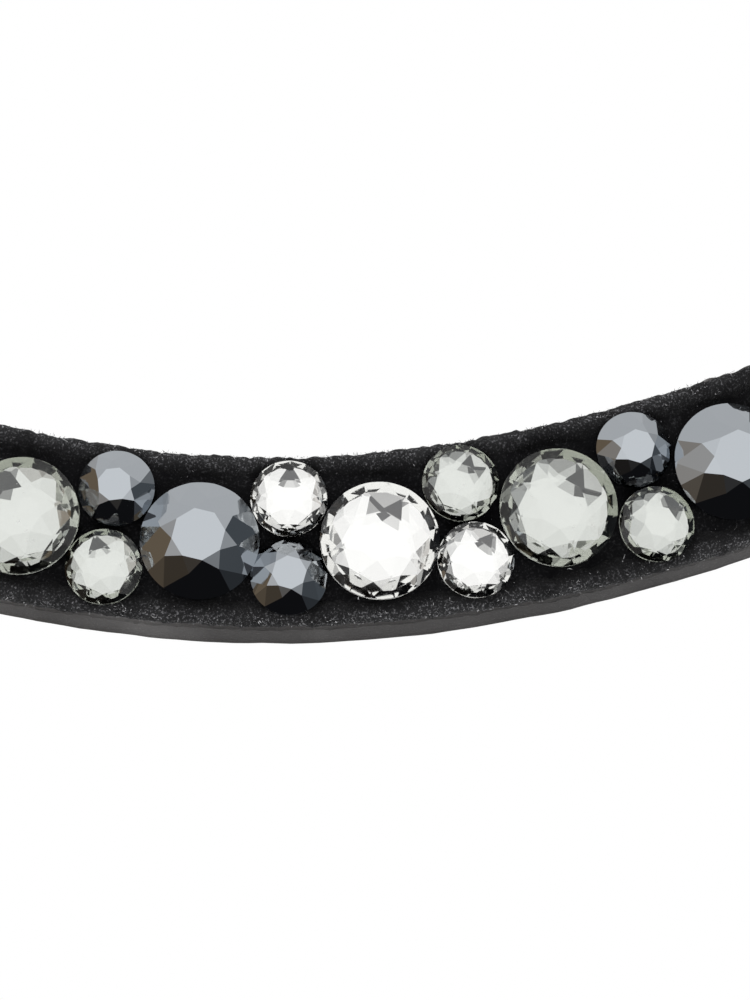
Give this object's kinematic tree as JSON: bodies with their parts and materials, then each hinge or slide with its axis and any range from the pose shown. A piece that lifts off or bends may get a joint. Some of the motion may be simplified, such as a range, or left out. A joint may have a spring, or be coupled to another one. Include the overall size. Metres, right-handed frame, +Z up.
{
  "type": "snaffle bridle",
  "caption": "Snaffle bridle with a dipped crystal browband, padded crown and noseband, throatlash and a loose-ring bit, hung from the poll.",
  "frame": {"origin": "underside of the crown pad, in the middle of the poll", "axes": "+Z up, -Y the way the horse faces, +X the horse's left (near) side"},
  "size_m": [0.1944, 0.2658, 0.5305],
  "materials": {
    "bridle_leather": "semi-matt, oiled",
    "keeper_leather": "semi-matt",
    "padding_leather": "soft grain",
    "lining_leather": "smooth, matt",
    "nubuck": "buffed nap",
    "velvet": "short pile",
    "buckle_steel": "polished stainless",
    "bit_steel": "polished stainless",
    "lozenge_alloy": "polished copper alloy",
    "crystal_clear": "cut, foil backed",
    "crystal_smoke": "cut, foil backed",
    "crystal_jet": "cut, metal coated"
  },
  "bodies": {
    "headstall": {"crown_leather": "bridle_leather", "crown_pad": "padding_leather", "cheekpiece_left": "bridle_leather", "cheekpiece_right": "bridle_leather", "hook_stud_left": "buckle_steel", "hook_stud_right": "buckle_steel", "cheek_buckle_left": "buckle_steel", "cheek_keeper_left": "keeper_leather", "cheek_buckle_right": "buckle_steel", "cheek_keeper_right": "keeper_leather", "throatlash": "bridle_leather", "throat_buckle_left": "buckle_steel", "throat_keeper_left": "keeper_leather", "throat_buckle_right": "buckle_steel", "throat_keeper_right": "keeper_leather", "browband_lining": "lining_leather", "browband_face": "nubuck", "browband_inlay": "velvet", "browband_loop_left": "bridle_leather", "browband_loop_right": "bridle_leather", "crystals_large_clear": "crystal_clear", "crystals_large_smoke": "crystal_smoke", "crystals_large_jet": "crystal_jet", "crystals_small_clear": "crystal_clear", "crystals_small_smoke": "crystal_smoke", "crystals_small_jet": "crystal_jet", "nosepiece_leather": "bridle_leather", "nosepiece_pad": "padding_leather", "jaw_chape": "bridle_leather", "jaw_strap": "bridle_leather", "jaw_splice": "bridle_leather", "jaw_buckle_left": "buckle_steel", "jaw_keeper_left": "keeper_leather", "noseband_hanger": "bridle_leather", "noseband_point": "bridle_leather", "hanger_buckle_left": "buckle_steel", "hanger_keeper_left": "keeper_leather"},
    "cheek_tongue_left": {"cheek_tongue_left": "buckle_steel"},
    "cheek_runner_left": {"cheek_runner_left": "keeper_leather"},
    "cheek_tongue_right": {"cheek_tongue_right": "buckle_steel"},
    "cheek_runner_right": {"cheek_runner_right": "keeper_leather"},
    "throat_tongue_left": {"throat_tongue_left": "buckle_steel"},
    "throat_runner_left": {"throat_runner_left": "keeper_leather"},
    "throat_tongue_right": {"throat_tongue_right": "buckle_steel"},
    "throat_runner_right": {"throat_runner_right": "keeper_leather"},
    "jaw_tongue_left": {"jaw_tongue_left": "buckle_steel"},
    "jaw_runner_left": {"jaw_runner_left": "keeper_leather"},
    "hanger_tongue_left": {"hanger_tongue_left": "buckle_steel"},
    "hanger_runner_left": {"hanger_runner_left": "keeper_leather"},
    "bit_ring_left": {"bit_ring_left": "bit_steel"},
    "bit_ring_right": {"bit_ring_right": "bit_steel"},
    "mouthpiece": {"cannon_left": "bit_steel", "cannon_right": "bit_steel"},
    "lozenge": {"lozenge": "lozenge_alloy"}
  },
  "joints": [
    {"name": "cheek_tongue_left_swing", "type": "hinge", "parent": "headstall", "child": "cheek_tongue_left", "pos_m": [0.08328, -0.01, -0.17008], "axis": [0, 1, 0], "range_deg": [0, 75]},
    {"name": "cheek_runner_left_slide", "type": "slide", "parent": "headstall", "child": "cheek_runner_left", "axis": [0.0884, 0, -0.9961], "range_m": [-0.006, 0.006]},
    {"name": "cheek_tongue_right_swing", "type": "hinge", "parent": "headstall", "child": "cheek_tongue_right", "pos_m": [-0.08328, -0.01, -0.17008], "axis": [0, -1, 0], "range_deg": [0, 75]},
    {"name": "cheek_runner_right_slide", "type": "slide", "parent": "headstall", "child": "cheek_runner_right", "axis": [-0.0884, 0, -0.9961], "range_m": [-0.006, 0.006]},
    {"name": "throat_tongue_left_swing", "type": "hinge", "parent": "headstall", "child": "throat_tongue_left", "pos_m": [0.08032, 0.013, -0.15334], "axis": [0, 1, 0], "range_deg": [0, 75]},
    {"name": "throat_runner_left_slide", "type": "slide", "parent": "headstall", "child": "throat_runner_left", "axis": [0.1736, 0, -0.9848], "range_m": [-0.006, 0.006]},
    {"name": "throat_tongue_right_swing", "type": "hinge", "parent": "headstall", "child": "throat_tongue_right", "pos_m": [-0.08032, 0.013, -0.15334], "axis": [0, -1, 0], "range_deg": [0, 75]},
    {"name": "throat_runner_right_slide", "type": "slide", "parent": "headstall", "child": "throat_runner_right", "axis": [-0.1736, 0, -0.9848], "range_m": [-0.006, 0.006]},
    {"name": "jaw_tongue_left_swing", "type": "hinge", "parent": "headstall", "child": "jaw_tongue_left", "pos_m": [0.0675, 0.02389, -0.345], "axis": [0, 0, -1], "range_deg": [0, 75]},
    {"name": "jaw_runner_left_slide", "type": "slide", "parent": "headstall", "child": "jaw_runner_left", "axis": [0, -1, 0], "range_m": [-0.006, 0.006]},
    {"name": "hanger_tongue_left_swing", "type": "hinge", "parent": "headstall", "child": "hanger_tongue_left", "pos_m": [0.07795, -0.0502, -0.28032], "axis": [-0.0315, 0.9875, -0.1544], "range_deg": [0, 75]},
    {"name": "hanger_runner_left_slide", "type": "slide", "parent": "headstall", "child": "hanger_runner_left", "axis": [-0.0274, -0.1607, -0.9866], "range_m": [-0.006, 0.006]},
    {"name": "bit_ring_left_turn", "type": "hinge", "parent": "headstall", "child": "bit_ring_left", "pos_m": [0.06493, -0.01, -0.46137], "axis": [1, 0, 0], "continuous": true},
    {"name": "bit_ring_right_turn", "type": "hinge", "parent": "headstall", "child": "bit_ring_right", "pos_m": [-0.06493, -0.01, -0.46137], "axis": [1, 0, 0], "continuous": true},
    {"name": "mouthpiece_swing", "type": "hinge", "parent": "headstall", "child": "mouthpiece", "pos_m": [0, -0.01, -0.46137], "axis": [1, 0, 0], "range_deg": [-90, 90]},
    {"name": "lozenge_roll", "type": "hinge", "parent": "mouthpiece", "child": "lozenge", "pos_m": [0, -0.01, -0.51191], "axis": [1, 0, 0], "range_deg": [-20, 20]}
  ]
}
